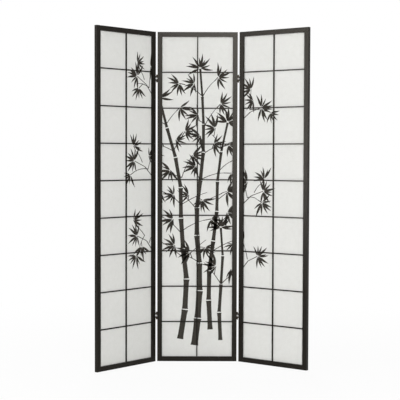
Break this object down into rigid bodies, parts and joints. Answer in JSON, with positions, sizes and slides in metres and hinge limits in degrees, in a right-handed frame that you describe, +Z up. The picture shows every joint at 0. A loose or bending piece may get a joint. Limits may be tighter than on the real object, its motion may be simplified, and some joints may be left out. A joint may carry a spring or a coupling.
{
  "type": "folding screen",
  "caption": "Free-standing folding room divider with lattice-and-paper panels in dark timber frames, joined by double-acting hinges so the wings fold both ways.",
  "frame": {"origin": "middle of the underside of the centre panel's bottom rail, at half the frame's thickness", "axes": "+Z up; the front, which shows the lattice, faces -Y; +X to the right seen from the front"},
  "size_m": [1.1094, 0.3442, 1.784],
  "materials": {
    "black_wood": "black-stained softwood with a satin lacquer",
    "paper": "matt white fibre paper with a black ink print",
    "dowel_wood": "bare beech",
    "hinge_bronze": "dark antique bronze",
    "screw_steel": "blackened steel"
  },
  "bodies": {
    "centre_panel": {"centre_panel_left_stile": "black_wood", "centre_panel_right_stile": "black_wood", "centre_panel_top_rail": "black_wood", "centre_panel_bottom_rail": "black_wood", "centre_panel_lattice_upright": "black_wood", "centre_panel_lattice_crossbars": "black_wood", "centre_panel_paper": "paper", "centre_panel_left_bead": "black_wood", "centre_panel_right_bead": "black_wood", "centre_panel_top_bead": "black_wood", "centre_panel_bottom_bead": "black_wood", "centre_panel_corner_dowels": "dowel_wood", "left_lower_hinge_centre_leaf": "hinge_bronze", "left_upper_hinge_centre_leaf": "hinge_bronze", "left_hinge_front_pins": "hinge_bronze", "left_hinge_centre_screws": "screw_steel", "right_lower_hinge_centre_leaf": "hinge_bronze", "right_upper_hinge_centre_leaf": "hinge_bronze", "right_hinge_front_pins": "hinge_bronze", "right_hinge_centre_screws": "screw_steel"},
    "left_wing": {"left_panel_left_stile": "black_wood", "left_panel_right_stile": "black_wood", "left_panel_top_rail": "black_wood", "left_panel_bottom_rail": "black_wood", "left_panel_lattice_upright": "black_wood", "left_panel_lattice_crossbars": "black_wood", "left_panel_paper": "paper", "left_panel_left_bead": "black_wood", "left_panel_right_bead": "black_wood", "left_panel_top_bead": "black_wood", "left_panel_bottom_bead": "black_wood", "left_panel_corner_dowels": "dowel_wood", "left_lower_hinge_wing_leaf": "hinge_bronze", "left_upper_hinge_wing_leaf": "hinge_bronze", "left_hinge_back_pins": "hinge_bronze", "left_hinge_wing_screws": "screw_steel"},
    "right_wing": {"right_panel_left_stile": "black_wood", "right_panel_right_stile": "black_wood", "right_panel_top_rail": "black_wood", "right_panel_bottom_rail": "black_wood", "right_panel_lattice_upright": "black_wood", "right_panel_lattice_crossbars": "black_wood", "right_panel_paper": "paper", "right_panel_left_bead": "black_wood", "right_panel_right_bead": "black_wood", "right_panel_top_bead": "black_wood", "right_panel_bottom_bead": "black_wood", "right_panel_corner_dowels": "dowel_wood", "right_lower_hinge_wing_leaf": "hinge_bronze", "right_upper_hinge_wing_leaf": "hinge_bronze", "right_hinge_back_pins": "hinge_bronze", "right_hinge_wing_screws": "screw_steel"},
    "left_hinge_middle": {"left_lower_hinge_middle_leaf": "hinge_bronze", "left_upper_hinge_middle_leaf": "hinge_bronze"},
    "right_hinge_middle": {"right_lower_hinge_middle_leaf": "hinge_bronze", "right_upper_hinge_middle_leaf": "hinge_bronze"}
  },
  "joints": [
    {"name": "left_front_fold", "type": "hinge", "parent": "centre_panel", "child": "left_hinge_middle", "pos_m": [-0.21975, -0.0105, 0.892], "axis": [0, 0, 1], "range_deg": [-48, 131]},
    {"name": "left_back_fold", "type": "hinge", "parent": "left_hinge_middle", "child": "left_wing", "pos_m": [-0.23669, 0.00206, 0.892], "axis": [0, 0, -1], "range_deg": [0, 90]},
    {"name": "right_front_fold", "type": "hinge", "parent": "centre_panel", "child": "right_hinge_middle", "pos_m": [0.21975, -0.0105, 0.892], "axis": [0, 0, -1], "range_deg": [-36.7, 38.3]},
    {"name": "right_back_fold", "type": "hinge", "parent": "right_hinge_middle", "child": "right_wing", "pos_m": [0.2339, 0.00514, 0.892], "axis": [0, 0, 1], "range_deg": [0, 180]}
  ]
}
